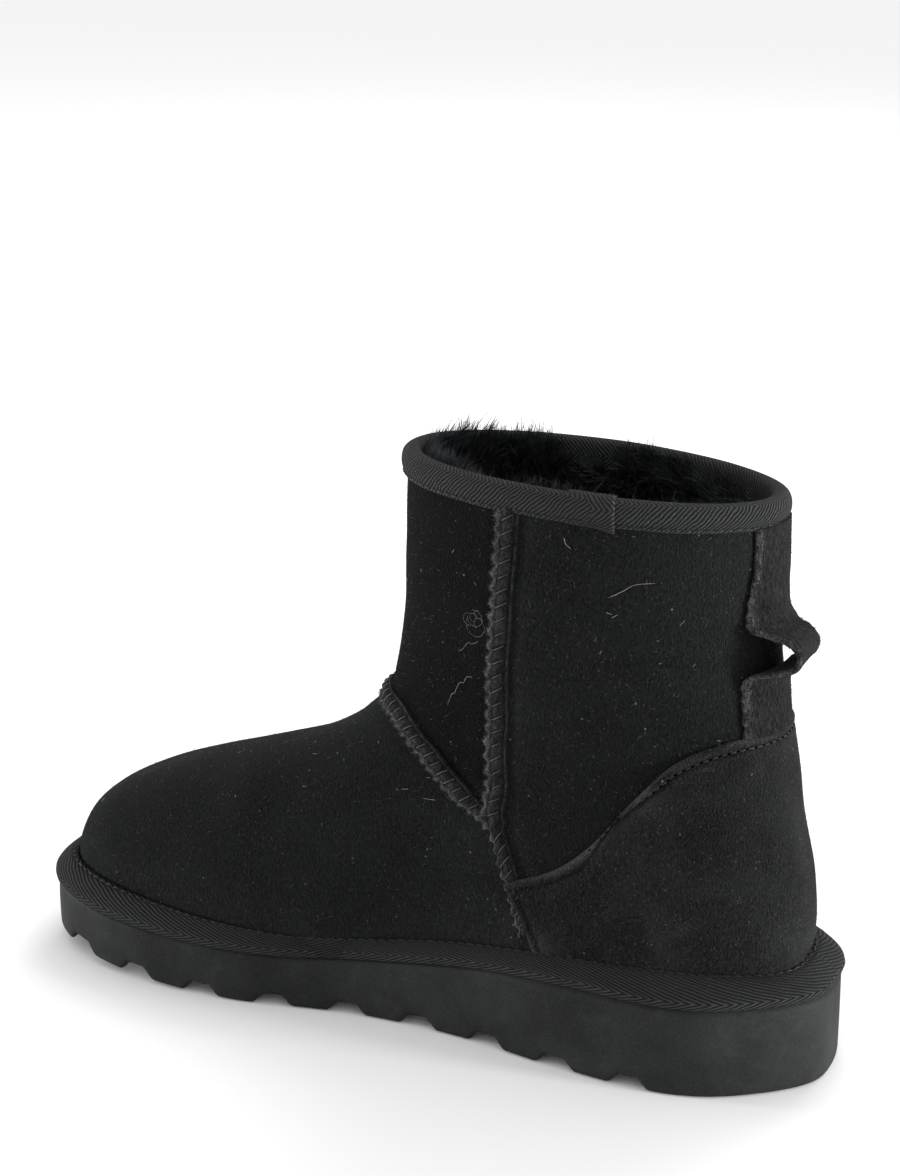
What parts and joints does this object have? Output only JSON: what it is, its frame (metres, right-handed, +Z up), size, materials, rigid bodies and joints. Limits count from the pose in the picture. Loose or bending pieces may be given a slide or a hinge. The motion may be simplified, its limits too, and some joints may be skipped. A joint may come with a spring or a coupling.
{
  "type": "sheepskin ankle boot",
  "caption": "Pull-on ankle boot with a fur-lined suede upper, taped collar, heel counter, rear pull loop and a thick lugged foam sole.",
  "frame": {"origin": "middle of the bounding box's bottom, on the ground under the sole", "axes": "+X from heel to toe, +Y to the inner (medial) side of the right foot, +Z up"},
  "size_m": [0.2698, 0.0926, 0.1835],
  "materials": {
    "suede": "black napped suede",
    "foam": "matt charcoal moulded foam",
    "tape": "black herringbone twill tape",
    "fur": "deep black sheepskin fur",
    "loop_suede": "rough charcoal suede"
  },
  "bodies": {
    "root": {"outsole": "foam", "insole": "fur", "upper": "suede", "sole_binding": "tape", "heel_counter": "suede", "collar_binding": "tape", "pull_loop": "loop_suede"}
  },
  "joints": []
}
